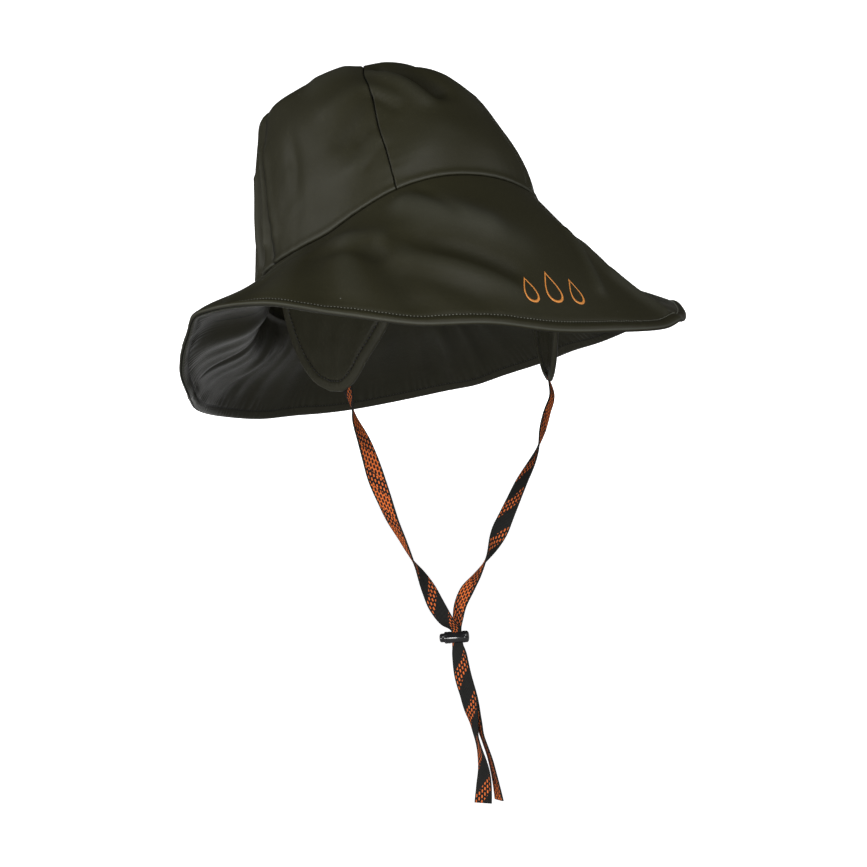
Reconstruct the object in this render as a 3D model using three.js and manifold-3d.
// A rain hat of coated cloth: a crown of six gores, a wide drooping brim with a
// lining, two ear flaps, and two flat laces that run through a cord lock.
//
// Sizes are in millimetres and angles in degrees. The hat stands as it is worn:
// +Z is up, the brow faces -Y and the wearer's left side is +X. The origin is the
// middle of the head opening.

import * as THREE from "three";
import { mergeVertices } from "three/addons/utils/BufferGeometryUtils.js";
import Module from "manifold-3d";

const wasm = await Module();
wasm.setup();

// The head opening and the crown on it
const HEAD_HALF_WIDTH = 84;
const HEAD_HALF_LENGTH = 102;
const CROWN_HEIGHT = 121;
const CROWN_LEAN = 22;
const GORE_PUFF = 1.5;
const DENT_SINK = 0.6;
const CROWN_NAMES = ["front", "front_left", "rear_left", "rear", "rear_right", "front_right"];
const GORE_SEAMS = [
  { angle: -28, sway: "front" },
  { angle: 28, sway: "none" },
  { angle: 90, sway: "none" },
  { angle: 152, sway: "none" },
  { angle: 208, sway: "none" },
  { angle: 270, sway: "side" },
  { angle: 332, sway: "front" },
];

// How far the seams sway round the head as they rise, in degrees
const SEAM_SWAYS = [
  { rise: 0, none: 0, front: 1, side: 1.5 },
  { rise: 0.1, none: 0, front: -0.1, side: -1 },
  { rise: 0.2, none: 0, front: -0.8, side: -5 },
  { rise: 0.3, none: 0, front: -1.2, side: -10 },
  { rise: 0.4, none: 0, front: -0.3, side: -14 },
  { rise: 0.5, none: 0, front: 0.8, side: -16 },
  { rise: 0.6, none: 0, front: 2.8, side: -17 },
  { rise: 0.72, none: 0, front: 8, side: -16 },
  { rise: 0.86, none: 0, front: 13, side: -13 },
  { rise: 1, none: 0, front: 15, side: -8 },
];

// Cloth walls and the gap between neighbouring pieces
const CROWN_WALL = 2.2;
const BRIM_WALL = 1.2;
const LINING_WALL = 1;
const FLAP_WALL = 2.6;
const GAP = 0.3;

// The brim starts under the crown's edge and leaves it this far outside
const BRIM_TUCK = 0.8;
const BRIM_TUCK_RUN = 0.035;
const BRIM_DROP = 0.9;
const BRIM_SIDE_SEAM = 90;
const LINING_END_RUN = 0.985;

// Folds are laid out on the brim's middle circle and its length from seam to edge
const BRIM_MIDDLE_RADIUS = 130;
const BRIM_LENGTH = 102;
const FOLD_START_RUN = 0.12;

// The ear flaps are sewn in at the crown's edge between these angles
const FLAP_FRONT_ANGLE = 35;
const FLAP_REAR_ANGLE = 88;
const FLAP_LENGTH_ALONG = 83;
const FLAP_BOW = 3;
const FLAP_TUCK_RISE = 0.05;
const FLAP_DROP_END = 0.3;
const FLAP_SWING_START = 0.2;
const FLAP_SWING_END = 0.5;

// Laces and cord lock
const LACE_WIDTH = 10;
const LACE_WALL = 1.1;
const LACE_BEVEL = 0.5;
const LACE_STEPS = 56;
const LOCK_CENTRE = new THREE.Vector3(0, -67.8, -213.4);
const LOCK_HEADING = -43;
const LOCK_TILT = 6;
const LOCK_LENGTH = 14.2;
const LOCK_RADIUS = 3.5;
const LOCK_ROUND = 0.7;
const LOCK_SIDES = 20;
const LOCK_SLOT_WIDTH = 7.6;
const LOCK_SLOT_DEPTH = 3.6;
const BUTTON_RADIUS = 2.6;
const BUTTON_ROUND = 0.6;
const BUTTON_CLEARANCE = 0.3;
const BUTTON_PROUD = 2.8;
const BUTTON_INSIDE = 1.1;

// Small steps that slopes are measured over, as shares of a surface or rows of a route
const SURFACE_STEP = 0.004;
const BRIM_STEP = 0.02;
const ROUTE_STEP = 0.1;

// Corners closer than this are one corner
const MERGE_DISTANCE = 1e-4;

// The grids of the walls: columns across each piece, and the shares where rows lie
const GORE_COLUMNS = 8;
const CROWN_ROWS = [0, 0.08, 0.17, 0.27, 0.37, 0.46, 0.54, 0.61, 0.68, 0.76, 0.88, 1];
const BRIM_COLUMNS = 30;
const LINING_ROWS = [0, BRIM_TUCK_RUN, 0.12, 0.28, 0.46, 0.64, 0.82, LINING_END_RUN];
const BRIM_ROWS = [...LINING_ROWS, 1];
const FLAP_COLUMNS = 8;
const FLAP_GRID_ROWS = [0, 0.06, 0.12, 0.2, 0.3, 0.4, 0.5, 0.6, 0.7, 0.79, 0.87, 0.93, 0.97, 1];

// How high the crown's edge runs round the head, angles from the brow towards the left ear
const CROWN_EDGE = around([
  { angle: -90, height: 2 },
  { angle: -70, height: 1.9 },
  { angle: -55, height: 2.8 },
  { angle: -42, height: 8.4 },
  { angle: -28, height: 14.8 },
  { angle: -13, height: 18.2 },
  { angle: 2, height: 17.4 },
  { angle: 20, height: 14 },
  { angle: 35, height: 12 },
  { angle: 50, height: 6.5 },
  { angle: 65, height: 2.5 },
  { angle: 90, height: 1.5 },
  { angle: 140, height: -1 },
  { angle: 180, height: -2 },
  { angle: 220, height: -1 },
]);

// The crown's sections from its edge (rise 0) to its tip (rise 1): height as a share
// of the crown's, size as a share of the head opening, and the shift to the back
const CROWN_SECTIONS = [
  { rise: 0, height: 0, size: 1, back: 0 },
  { rise: 0.14, height: 0.2, size: 0.955, back: -3 },
  { rise: 0.3, height: 0.42, size: 0.89, back: -2 },
  { rise: 0.46, height: 0.64, size: 0.82, back: 2 },
  { rise: 0.6, height: 0.82, size: 0.69, back: 9 },
  { rise: 0.73, height: 0.94, size: 0.51, back: 14 },
  { rise: 0.86, height: 0.985, size: 0.27, back: 15 },
  { rise: 1, height: 1, size: 0.012, back: 14 },
];

// Dents in the crown: the middle, the spread each way, and the depth (a bulge when negative)
const CROWN_DENTS = [
  { angle: 62, rise: 0.5, spread_angle: 42, spread_rise: 0.28, depth: 5.4 },
  { angle: -115, rise: 0.68, spread_angle: 40, spread_rise: 0.07, depth: -3.6 },
  { angle: -112, rise: 0.42, spread_angle: 45, spread_rise: 0.16, depth: 2 },
  { angle: -155, rise: 0.76, spread_angle: 35, spread_rise: 0.12, depth: -4 },
  { angle: 2, rise: 0.64, spread_angle: 30, spread_rise: 0.05, depth: 3.5 },
  { angle: -20, rise: 0.58, spread_angle: 8, spread_rise: 0.05, depth: 2 },
  { angle: -72, rise: 0.28, spread_angle: 5, spread_rise: 0.16, depth: 3 },
  { angle: -106, rise: 0.1, spread_angle: 5, spread_rise: 0.14, depth: 4 },
  { angle: -55, rise: 0.14, spread_angle: 10, spread_rise: 0.08, depth: 2 },
  { angle: 120, rise: 0.2, spread_angle: 10, spread_rise: 0.15, depth: 3 },
  { angle: 175, rise: 0.35, spread_angle: 25, spread_rise: 0.06, depth: 3 },
];

// The brim's edge: reach from the middle, height, how far the brim bows up between
// seam and edge, and how far it sinks near the seam and lifts near the edge
const BRIM_EDGE = around([
  { angle: 0, reach: 150, height: -92, bow: 5, sway: 0 },
  { angle: 15, reach: 152, height: -92, bow: 4, sway: 0 },
  { angle: 30, reach: 157, height: -88, bow: 0, sway: 0 },
  { angle: 45, reach: 160, height: -76.5, bow: -3, sway: 0 },
  { angle: 60, reach: 162.5, height: -60, bow: -4, sway: 1 },
  { angle: 75, reach: 167.5, height: -43, bow: -6, sway: 2 },
  { angle: 90, reach: 166.5, height: -41.5, bow: -2, sway: 2 },
  { angle: 120, reach: 160, height: -40.5, bow: 2, sway: 2 },
  { angle: 150, reach: 176, height: -37.2, bow: 4, sway: 2 },
  { angle: 165, reach: 184, height: -36.5, bow: 4, sway: 2 },
  { angle: 180, reach: 187, height: -37, bow: 4, sway: 2 },
  { angle: 195, reach: 177, height: -38.2, bow: 2, sway: 4 },
  { angle: 210, reach: 160, height: -42.6, bow: -2, sway: 6 },
  { angle: 225, reach: 144, height: -47.5, bow: -4.7, sway: 6.7 },
  { angle: 240, reach: 137.5, height: -53.5, bow: -7, sway: 7 },
  { angle: 255, reach: 142, height: -48, bow: -9, sway: 7 },
  { angle: 270, reach: 148, height: -40, bow: -8, sway: 6 },
  { angle: 285, reach: 160, height: -38, bow: -5, sway: 1 },
  { angle: 300, reach: 157, height: -47, bow: 2, sway: 0 },
  { angle: 315, reach: 152, height: -64, bow: 5, sway: 0 },
  { angle: 330, reach: 150, height: -78.5, bow: 5, sway: 0 },
  { angle: 345, reach: 150, height: -84.5, bow: 5, sway: 0 },
]);

// Soft folds in the brim: a line from one place to another, its width, and how far
// it rises (or sinks, when negative). The run goes from the seam (0) to the edge (1).
const BRIM_FOLDS = [
  { angle: -24, run: 0.28, to_angle: 12, to_run: 0.6, width: 9, rise: -3.5 },
  { angle: -12, run: 0.25, to_angle: 22, to_run: 0.55, width: 8, rise: 3 },
  { angle: 28, run: 0.45, to_angle: 40, to_run: 0.95, width: 9, rise: 3 },
  { angle: 50, run: 0.45, to_angle: 56, to_run: 0.8, width: 10, rise: -1.5 },
  { angle: -66, run: 0.2, to_angle: -80, to_run: 0.9, width: 10, rise: 3 },
  { angle: -95, run: 0.15, to_angle: -104, to_run: 0.8, width: 9, rise: -3 },
  { angle: -125, run: 0.1, to_angle: -130, to_run: 0.8, width: 12, rise: 3 },
  { angle: 100, run: 0.15, to_angle: 110, to_run: 0.9, width: 12, rise: 3 },
  { angle: 140, run: 0.2, to_angle: 136, to_run: 0.9, width: 12, rise: -3 },
  { angle: 170, run: 0.2, to_angle: 176, to_run: 0.9, width: 14, rise: 3 },
];

// The two flaps hang level from front to rear along these plan lines
const FLAPS = [
  { side: "right", turn: -1, front_x: -55, front_y: -79, rear_x: -80, rear_y: 0 },
  { side: "left", turn: 1, front_x: 60.5, front_y: -80.7, rear_x: 91, rear_y: -3.7 },
];

// A flap's outline by rows, from its seam (down 0) to its tip (down 1): the ends of
// each row as distance from the front line and as height
const FLAP_ROWS = [
  { down: 0, front: -5, front_height: 30, rear: 84, rear_height: 4 },
  { down: 0.3, front: -5, front_height: 4, rear: 82, rear_height: -10 },
  { down: 0.5, front: -4, front_height: -24, rear: 78.5, rear_height: -24 },
  { down: 0.65, front: 2, front_height: -36, rear: 73.5, rear_height: -36 },
  { down: 0.8, front: 11, front_height: -48, rear: 66.5, rear_height: -48.5 },
  { down: 0.9, front: 19, front_height: -59.5, rear: 57.5, rear_height: -59 },
  { down: 0.96, front: 24.5, front_height: -64.8, rear: 49, rear_height: -65 },
  { down: 1, front: 30, front_height: -67.9, rear: 39, rear_height: -68.2 },
];

// Each lace from its flap to its cut end: the middle of the lace, the heading of its
// width seen from above, and its width as a share of the full width
const LACES = [
  {
    side: "right",
    route: [
      { x: -62.4, y: -50.7, z: -68.6, heading: 100, width: 0.8 },
      { x: -60.6, y: -51.1, z: -75.2, heading: 72, width: 0.95 },
      { x: -58.6, y: -51.6, z: -84.5, heading: 44, width: 1 },
      { x: -53.9, y: -53, z: -96.1, heading: 18, width: 1 },
      { x: -49.9, y: -54.1, z: -107.8, heading: -3, width: 1 },
      { x: -46.3, y: -55.2, z: -119.5, heading: -31, width: 1 },
      { x: -42, y: -56.4, z: -131.2, heading: -56, width: 1 },
      { x: -37.5, y: -57.7, z: -143, heading: -74, width: 1 },
      { x: -31.8, y: -59.4, z: -154.8, heading: -93, width: 1 },
      { x: -26.1, y: -61, z: -166.8, heading: -114, width: 1 },
      { x: -21.2, y: -62.4, z: -175.7, heading: -147, width: 1 },
      { x: -16.6, y: -63.8, z: -184.8, heading: -176, width: 1 },
      { x: -12.6, y: -65.4, z: -193.8, heading: -196, width: 1 },
      { x: -7.2, y: -67.6, z: -202.8, heading: -210, width: 0.85 },
      { x: -1.1, y: -68, z: -208.4, heading: -221, width: 0.62 },
      { x: -0.6, y: -68.4, z: -213.4, heading: -223, width: 0.6 },
      { x: -0.2, y: -68.8, z: -218.4, heading: -223, width: 0.64 },
      { x: 0.7, y: -69.2, z: -224, heading: -221, width: 0.85 },
      { x: 2.4, y: -70.4, z: -235.9, heading: -219, width: 1 },
      { x: 5.2, y: -72.1, z: -247.8, heading: -225, width: 1 },
      { x: 6.7, y: -72.9, z: -256.7, heading: -249, width: 1 },
      { x: 8.1, y: -73.5, z: -263.9, heading: -271, width: 1 },
      { x: 9.2, y: -73.9, z: -271, heading: -285, width: 1 },
      { x: 10.9, y: -74.8, z: -278.2, heading: -285, width: 1 },
      { x: 12.6, y: -75.4, z: -285.4, heading: -274, width: 1 },
      { x: 13.7, y: -76, z: -293.7, heading: -258, width: 1 },
      { x: 13.7, y: -76, z: -302.7, heading: -235, width: 1 },
      { x: 13.3, y: -75.8, z: -312.3, heading: -216, width: 1.03 },
    ],
  },
  {
    side: "left",
    route: [
      { x: 75.6, y: -50.2, z: -68.9, heading: 52, width: 0.8 },
      { x: 77.6, y: -49.8, z: -77.8, heading: 38, width: 1 },
      { x: 73.7, y: -50.6, z: -87, heading: 31, width: 1 },
      { x: 69.9, y: -51.5, z: -97.1, heading: 34, width: 1 },
      { x: 66.2, y: -52.3, z: -107.2, heading: 58, width: 1 },
      { x: 60.4, y: -53.6, z: -116.6, heading: 81, width: 1 },
      { x: 52.9, y: -55.3, z: -126.4, heading: 100, width: 1 },
      { x: 45.9, y: -56.9, z: -137.1, heading: 113, width: 1 },
      { x: 38.6, y: -58.6, z: -148.4, heading: 134, width: 1 },
      { x: 31.7, y: -60.1, z: -159.2, heading: 184, width: 1 },
      { x: 25.2, y: -61.6, z: -168.4, heading: 221, width: 1 },
      { x: 17.1, y: -63.2, z: -178.2, heading: 257, width: 1 },
      { x: 9.5, y: -64.2, z: -186.4, heading: 291, width: 1 },
      { x: 4.1, y: -65.2, z: -194.8, heading: 307, width: 0.8 },
      { x: 1.6, y: -66.2, z: -203, heading: 314, width: 0.65 },
      { x: 0.3, y: -66.8, z: -208.4, heading: 316, width: 0.6 },
      { x: 0.6, y: -67.2, z: -213.4, heading: 317, width: 0.6 },
      { x: 1, y: -67.5, z: -218.4, heading: 317, width: 0.64 },
      { x: 1.9, y: -67.9, z: -224, heading: 319, width: 0.85 },
      { x: 3.6, y: -68.9, z: -235.9, heading: 321, width: 0.97 },
      { x: 6.6, y: -70.6, z: -247.8, heading: 315, width: 0.97 },
      { x: 8.8, y: -72, z: -256.7, heading: 291, width: 1 },
      { x: 10.9, y: -73.5, z: -263.9, heading: 269, width: 1 },
      { x: 12.6, y: -74.8, z: -271, heading: 255, width: 1 },
      { x: 14.8, y: -76.1, z: -278.2, heading: 254, width: 1 },
      { x: 16.9, y: -77.4, z: -285.4, heading: 255, width: 1 },
      { x: 18.6, y: -78.7, z: -293.7, heading: 257, width: 1 },
      { x: 20.2, y: -79.8, z: -302.7, heading: 262, width: 1 },
      { x: 21.4, y: -80.6, z: -310.5, heading: 268, width: 1 },
    ],
  },
];

// Repeats a table of angles past both ends, so that it reads smoothly all round
function around(rows) {
  const shifted = (row, turn) => ({ ...row, angle: row.angle + turn });
  const before = rows.slice(-2).map((row) => shifted(row, -360));
  const after = rows.slice(0, 3).map((row) => shifted(row, 360));
  return [...before, ...rows, ...after];
}

// Reads such a table at any angle
function smoothRound(rows, column, angle) {
  const first = rows[2].angle;
  return smooth(rows, "angle", column, first + THREE.MathUtils.euclideanModulo(angle - first, 360));
}

// Reads a column of a table smoothly at any place between its rows
function smooth(rows, key, column, at) {
  const next = rows.findIndex((row) => row[key] > at);
  const last = rows.length - 1;
  const index = next < 0 ? last - 1 : Math.max(next - 1, 0);
  const from = rows[index];
  const to = rows[index + 1];
  const before = rows[Math.max(index - 1, 0)];
  const after = rows[Math.min(index + 2, last)];
  const span = to[key] - from[key];
  const share = THREE.MathUtils.clamp((at - from[key]) / span, 0, 1);
  const slope_from = (span * (to[column] - before[column])) / (to[key] - before[key]);
  const slope_to = (span * (after[column] - from[column])) / (after[key] - from[key]);
  const square = share * share;
  const cube = square * share;
  return (
    from[column] * (2 * cube - 3 * square + 1) +
    slope_from * (cube - 2 * square + share) +
    to[column] * (3 * square - 2 * cube) +
    slope_to * (cube - square)
  );
}

// The smallest turn from one angle to another
function turnBetween(from, to) {
  return THREE.MathUtils.euclideanModulo(to - from + 180, 360) - 180;
}

// A point at an angle from the brow, a radius from the middle and a height
function roundPoint(angle, radius, height, back = 0) {
  const turn = THREE.MathUtils.degToRad(angle);
  return new THREE.Vector3(radius * Math.sin(turn), back - radius * Math.cos(turn), height);
}

// The oval of the head opening
function headRadius(angle) {
  const turn = THREE.MathUtils.degToRad(angle);
  return 1 / Math.hypot(Math.sin(turn) / HEAD_HALF_WIDTH, Math.cos(turn) / HEAD_HALF_LENGTH);
}

// The height of the crown's edge
function edgeHeight(angle) {
  return smoothRound(CROWN_EDGE, "height", angle);
}

// The normal of a surface given by two shares, from its neighbouring points
function normalOf(surface, across, up) {
  const step = SURFACE_STEP;
  const along = surface(across + step, up).sub(surface(across - step, up));
  const above = surface(across, Math.min(up + step, 1));
  const below = surface(across, Math.max(up - step, 0));
  return along.cross(above.sub(below)).normalize();
}

// The crown's outer surface
function crownPoint(angle, rise) {
  const edge = edgeHeight(angle);
  const height = edge + (CROWN_HEIGHT - edge) * smooth(CROWN_SECTIONS, "rise", "height", rise);
  const size = smooth(CROWN_SECTIONS, "rise", "size", rise);
  const back = smooth(CROWN_SECTIONS, "rise", "back", rise);
  let dent = 0;
  for (const row of CROWN_DENTS) {
    const off_angle = turnBetween(row.angle, angle) / row.spread_angle;
    const off_rise = (rise - row.rise) / row.spread_rise;
    dent += row.depth * Math.exp(-off_angle * off_angle - off_rise * off_rise);
  }
  return roundPoint(angle, headRadius(angle) * size - dent, height - dent * rise * DENT_SINK, back);
}

// The angle at which a seam runs at that rise
function seamAngle(seam, rise) {
  return seam.angle + smooth(SEAM_SWAYS, "rise", seam.sway, rise);
}

// One gore between two seams, slightly puffed between them
function goreSurface(from, to) {
  return (across, rise) => {
    const radius = headRadius(from.angle) * smooth(CROWN_SECTIONS, "rise", "size", rise);
    const inset = THREE.MathUtils.radToDeg(GAP / 2 / radius);
    const start = seamAngle(from, rise) + inset;
    const angle = THREE.MathUtils.lerp(start, seamAngle(to, rise) - inset, across);
    const point = crownPoint(angle, rise);
    const swell = Math.sin(Math.PI * THREE.MathUtils.clamp(across, 0, 1));
    const puff = GORE_PUFF * swell * Math.sin(Math.PI * rise);
    return point.add(roundPoint(angle, puff, puff * rise));
  };
}

// The brim's upper surface, without its folds
function brimPoint(angle, run) {
  const inner = headRadius(angle) - CROWN_WALL;
  const outer = headRadius(angle) + BRIM_TUCK;
  const top = edgeHeight(angle) - BRIM_DROP;
  const reach = smoothRound(BRIM_EDGE, "reach", angle);
  const height = smoothRound(BRIM_EDGE, "height", angle);
  if (run <= BRIM_TUCK_RUN) {
    return roundPoint(angle, THREE.MathUtils.lerp(inner, outer, run / BRIM_TUCK_RUN), top);
  }
  const share = (run - BRIM_TUCK_RUN) / (1 - BRIM_TUCK_RUN);
  const bow = smoothRound(BRIM_EDGE, "bow", angle) * Math.sin(Math.PI * share);
  const sway = smoothRound(BRIM_EDGE, "sway", angle) * Math.sin(2 * Math.PI * share);
  const out = reach - outer;
  const down = top - height;
  const length = Math.hypot(out, down);
  const lift = bow - sway;
  const radius = outer + out * share + (lift * down) / length;
  return roundPoint(angle, radius, top - down * share + (lift * out) / length);
}

// How far the folds lift the brim at a place
function foldRise(angle, run) {
  const degree = THREE.MathUtils.degToRad(BRIM_MIDDLE_RADIUS);
  let rise = 0;
  for (const fold of BRIM_FOLDS) {
    const line_x = turnBetween(fold.angle, fold.to_angle) * degree;
    const line_y = (fold.to_run - fold.run) * BRIM_LENGTH;
    const x = turnBetween(fold.angle, angle) * degree;
    const y = (run - fold.run) * BRIM_LENGTH;
    const share = (x * line_x + y * line_y) / (line_x * line_x + line_y * line_y);
    const near = THREE.MathUtils.clamp(share, 0, 1);
    const off = Math.hypot(x - near * line_x, y - near * line_y) / fold.width;
    rise += fold.rise * Math.exp(-off * off);
  }
  return rise * Math.min(run / FOLD_START_RUN, 1);
}

// The brim's upper surface with its folds, between two seams
function brimSurface(from, to) {
  return (across, run) => {
    const angle = THREE.MathUtils.lerp(from, to, across);
    const before = brimPoint(angle, Math.max(run - BRIM_STEP, 0));
    const outwards = brimPoint(angle, Math.min(run + BRIM_STEP, 1)).sub(before);
    const sideways = roundPoint(angle + 90, 1, 0);
    const lift = sideways.cross(outwards).normalize().multiplyScalar(foldRise(angle, run));
    return brimPoint(angle, run).sub(lift);
  };
}

// Turns a point of the leaning crown to the level frame of the hat
function levelPoint(point) {
  return point.applyAxisAngle(new THREE.Vector3(1, 0, 0), -THREE.MathUtils.degToRad(CROWN_LEAN));
}

// The middle of a flap's wall: sewn along the crown's edge, then hanging to its tip
function flapSurface(flap) {
  const front = new THREE.Vector3(flap.front_x, flap.front_y, 0);
  const along = new THREE.Vector3(flap.rear_x, flap.rear_y, 0).sub(front).normalize();
  const outwards = new THREE.Vector3(along.y, -along.x, 0).multiplyScalar(flap.turn);
  const inset = CROWN_WALL + 2 * GAP + FLAP_WALL / 2;
  return (across, down) => {
    const row = (column) => smooth(FLAP_ROWS, "down", column, down);
    const reach = THREE.MathUtils.lerp(row("front"), row("rear"), across);
    const height = THREE.MathUtils.lerp(row("front_height"), row("rear_height"), across);
    const share = reach / FLAP_LENGTH_ALONG;
    const bow = FLAP_BOW * 4 * share * (1 - share);
    const hanging = front.clone().addScaledVector(along, reach).addScaledVector(outwards, bow);
    const angle = flap.turn * THREE.MathUtils.lerp(FLAP_FRONT_ANGLE, FLAP_REAR_ANGLE, across);
    const seam = crownPoint(angle, FLAP_TUCK_RISE).sub(roundPoint(angle, inset, 0));
    const point = levelPoint(seam);
    const drop = THREE.MathUtils.lerp(point.z, height, Math.min(down / FLAP_DROP_END, 1));
    point.lerp(hanging, THREE.MathUtils.smoothstep(down, FLAP_SWING_START, FLAP_SWING_END));
    return point.setZ(drop);
  };
}

// A closed wall over a grid of a surface, between two offsets along its normal. The
// rows lie at the given shares, and flip turns a surface whose normal points inwards.
function wallGeometry(surface, columns, shares, outer, inner, flip = false) {
  const positions = [];
  const row_count = shares.length - 1;
  for (const offset of [outer, inner]) {
    for (let row = 0; row <= row_count; row += 1) {
      for (let column = 0; column <= columns; column += 1) {
        const across = column / columns;
        const up = shares[row];
        const normal = normalOf(surface, across, up);
        const point = surface(across, up).addScaledVector(normal, flip ? -offset : offset);
        positions.push(point.x, point.y, point.z);
      }
    }
  }
  const line = columns + 1;
  const layer = line * (row_count + 1);
  const faces = [];
  const quad = (a, b, c, d) => (flip ? faces.push(a, c, b, a, d, c) : faces.push(a, b, c, a, c, d));
  for (let row = 0; row < row_count; row += 1) {
    for (let column = 0; column < columns; column += 1) {
      const at = row * line + column;
      quad(at, at + 1, at + line + 1, at + line);
      quad(layer + at, layer + at + line, layer + at + line + 1, layer + at + 1);
    }
  }
  for (let column = 0; column < columns; column += 1) {
    const top = row_count * line + column;
    quad(column, layer + column, layer + column + 1, column + 1);
    quad(top, top + 1, layer + top + 1, layer + top);
  }
  for (let row = 0; row < row_count; row += 1) {
    const left = row * line;
    const right = left + columns;
    quad(left, left + line, layer + left + line, layer + left);
    quad(right, layer + right, layer + right + line, right + line);
  }
  return meshGeometry(positions, faces);
}

// A geometry from corners and faces
function meshGeometry(positions, faces) {
  const geometry = new THREE.BufferGeometry();
  geometry.setAttribute("position", new THREE.Float32BufferAttribute(positions, 3));
  geometry.setIndex(faces);
  geometry.computeVertexNormals();
  return geometry;
}

// A flat lace with bevelled edges, lofted along its route
function laceGeometry(route) {
  const half = LACE_WIDTH / 2;
  const wall = LACE_WALL / 2;
  const corners = [
    [half, wall / 2],
    [half - LACE_BEVEL, wall],
    [LACE_BEVEL - half, wall],
    [-half, wall / 2],
    [-half, -wall / 2],
    [LACE_BEVEL - half, -wall],
    [half - LACE_BEVEL, -wall],
    [half, -wall / 2],
  ];
  const rows = route.map((row, index) => ({ ...row, index }));
  const read = (column, at) => smooth(rows, "index", column, at);
  const middle = (at) => new THREE.Vector3(read("x", at), read("y", at), read("z", at));
  const positions = [];
  const last = route.length - 1;
  for (let step = 0; step <= LACE_STEPS; step += 1) {
    const at = (step / LACE_STEPS) * last;
    const point = middle(at);
    const before = middle(Math.max(at - ROUTE_STEP, 0));
    const tangent = middle(Math.min(at + ROUTE_STEP, last)).sub(before).normalize();
    const heading = THREE.MathUtils.degToRad(read("heading", at));
    const level = new THREE.Vector3(Math.cos(heading), Math.sin(heading), 0);
    const side = level.addScaledVector(tangent, -level.dot(tangent)).normalize();
    const face = tangent.clone().cross(side);
    const width = read("width", at);
    for (const [across, through] of corners) {
      const corner = point.clone().addScaledVector(side, across * width).addScaledVector(face, through);
      positions.push(corner.x, corner.y, corner.z);
    }
  }
  const count = corners.length;
  const faces = [];
  for (let step = 0; step < LACE_STEPS; step += 1) {
    for (let corner = 0; corner < count; corner += 1) {
      const next = (corner + 1) % count;
      const a = step * count + corner;
      const b = step * count + next;
      faces.push(a, b, b + count, a, b + count, a + count);
    }
  }
  const end = LACE_STEPS * count;
  for (let corner = 1; corner < count - 1; corner += 1) {
    faces.push(0, corner + 1, corner, end, end + corner, end + corner + 1);
  }
  return meshGeometry(positions, faces);
}

// A closed geometry as a solid that can be cut
function solidOf(geometry) {
  const bare = geometry.clone();
  bare.deleteAttribute("normal");
  bare.deleteAttribute("uv");
  const merged = mergeVertices(bare, MERGE_DISTANCE);
  return new wasm.Manifold(
    new wasm.Mesh({
      numProp: 3,
      vertProperties: new Float32Array(merged.attributes.position.array),
      triVerts: new Uint32Array(merged.index.array),
    }),
  );
}

// A solid as a geometry again
function geometryOf(solid) {
  const mesh = solid.getMesh();
  return meshGeometry(Array.from(mesh.vertProperties), Array.from(mesh.triVerts));
}

// A turned piece on the lock's own axis, from a profile of distances and radii
function turned(profile) {
  const points = profile.map((row) => new THREE.Vector2(row.radius, row.at));
  return new THREE.LatheGeometry(points, LOCK_SIDES).rotateZ(-Math.PI / 2);
}

// The lock's barrel: a slot for the laces crosses it, and the button's bore opens its left end
function barrelGeometry() {
  const end = LOCK_LENGTH / 2;
  const bore = BUTTON_RADIUS + BUTTON_CLEARANCE;
  const body = turned([
    { at: -end, radius: bore },
    { at: -end, radius: LOCK_RADIUS - LOCK_ROUND / 2 },
    { at: LOCK_ROUND / 2 - end, radius: LOCK_RADIUS },
    { at: end - LOCK_ROUND, radius: LOCK_RADIUS },
    { at: end, radius: LOCK_RADIUS - LOCK_ROUND },
    { at: end, radius: 0 },
    { at: -LOCK_SLOT_WIDTH / 2, radius: 0 },
    { at: -LOCK_SLOT_WIDTH / 2, radius: bore },
    { at: -end, radius: bore },
  ]);
  const slot_through = 3 * LOCK_RADIUS;
  const slot = new THREE.BoxGeometry(LOCK_SLOT_WIDTH, LOCK_SLOT_DEPTH, slot_through);
  return geometryOf(solidOf(body).subtract(solidOf(slot)));
}

// The lock's button, which slides in the bore
function buttonGeometry() {
  const face = -LOCK_LENGTH / 2 - BUTTON_PROUD;
  return turned([
    { at: face, radius: 0 },
    { at: face, radius: BUTTON_RADIUS - BUTTON_ROUND },
    { at: face + BUTTON_ROUND, radius: BUTTON_RADIUS },
    { at: BUTTON_INSIDE - LOCK_LENGTH / 2, radius: BUTTON_RADIUS },
    { at: BUTTON_INSIDE - LOCK_LENGTH / 2, radius: 0 },
  ]);
}

// Materials: coated cloth, the lining under it, woven lace, and moulded plastic
const coated_cloth = new THREE.MeshStandardMaterial({ color: 0x34352a, roughness: 0.55, metalness: 0 });
const lining_cloth = new THREE.MeshStandardMaterial({ color: 0x3b3e35, roughness: 0.45, metalness: 0 });
const lace_weave = new THREE.MeshStandardMaterial({ color: 0x8a4526, roughness: 0.85, metalness: 0 });
const lock_plastic = new THREE.MeshStandardMaterial({ color: 0x101012, roughness: 0.25, metalness: 0 });

// A named piece of the hat
function piece(name, geometry, material) {
  const mesh = new THREE.Mesh(geometry, material);
  mesh.name = name;
  return mesh;
}

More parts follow.
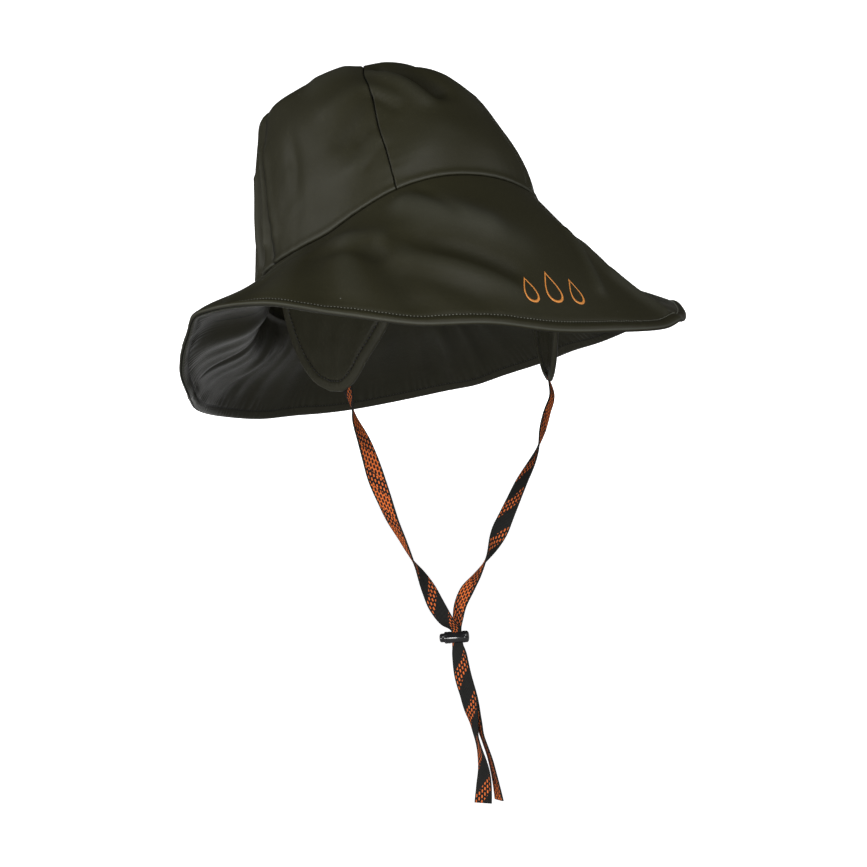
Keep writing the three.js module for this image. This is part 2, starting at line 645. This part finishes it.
// The hat: crown and brim lean back together, flaps and laces hang straight down
const hat = new THREE.Group();
const leaning = new THREE.Group();
leaning.rotation.x = -THREE.MathUtils.degToRad(CROWN_LEAN);
hat.add(leaning);

CROWN_NAMES.forEach((name, index) => {
  const surface = goreSurface(GORE_SEAMS[index], GORE_SEAMS[index + 1]);
  const geometry = wallGeometry(surface, GORE_COLUMNS, CROWN_ROWS, 0, -CROWN_WALL);
  leaning.add(piece(`crown_panel_${name}`, geometry, coated_cloth));
});

const side_inset = THREE.MathUtils.radToDeg(GAP / 2 / (HEAD_HALF_WIDTH - CROWN_WALL));
const brim_halves = [
  { name: "front", from: BRIM_SIDE_SEAM - side_inset, to: side_inset - BRIM_SIDE_SEAM },
  { name: "back", from: 360 - BRIM_SIDE_SEAM - side_inset, to: BRIM_SIDE_SEAM + side_inset },
];
for (const half of brim_halves) {
  const surface = brimSurface(half.from, half.to);
  const cloth = wallGeometry(surface, BRIM_COLUMNS, BRIM_ROWS, 0, -BRIM_WALL);
  leaning.add(piece(`brim_${half.name}`, cloth, coated_cloth));
  const under = -BRIM_WALL - GAP;
  const lining = wallGeometry(surface, BRIM_COLUMNS, LINING_ROWS, under, under - LINING_WALL);
  leaning.add(piece(`brim_lining_${half.name}`, lining, lining_cloth));
}

for (const flap of FLAPS) {
  const surface = flapSurface(flap);
  const half_wall = FLAP_WALL / 2;
  const flip = flap.turn > 0;
  const geometry = wallGeometry(surface, FLAP_COLUMNS, FLAP_GRID_ROWS, half_wall, -half_wall, flip);
  hat.add(piece(`ear_flap_${flap.side}`, geometry, lining_cloth));
}

for (const lace of LACES) {
  hat.add(piece(`chin_lace_${lace.side}`, laceGeometry(lace.route), lace_weave));
}

const lock_tilt = THREE.MathUtils.degToRad(LOCK_TILT);
const lock_heading = THREE.MathUtils.degToRad(LOCK_HEADING);
const lock = new THREE.Group();
lock.position.copy(LOCK_CENTRE);
lock.rotation.set(0, -lock_tilt, lock_heading, "ZYX");
lock.add(piece("lock_barrel", barrelGeometry(), lock_plastic));
lock.add(piece("lock_button", buttonGeometry(), lock_plastic));
hat.add(lock);

export default hat;
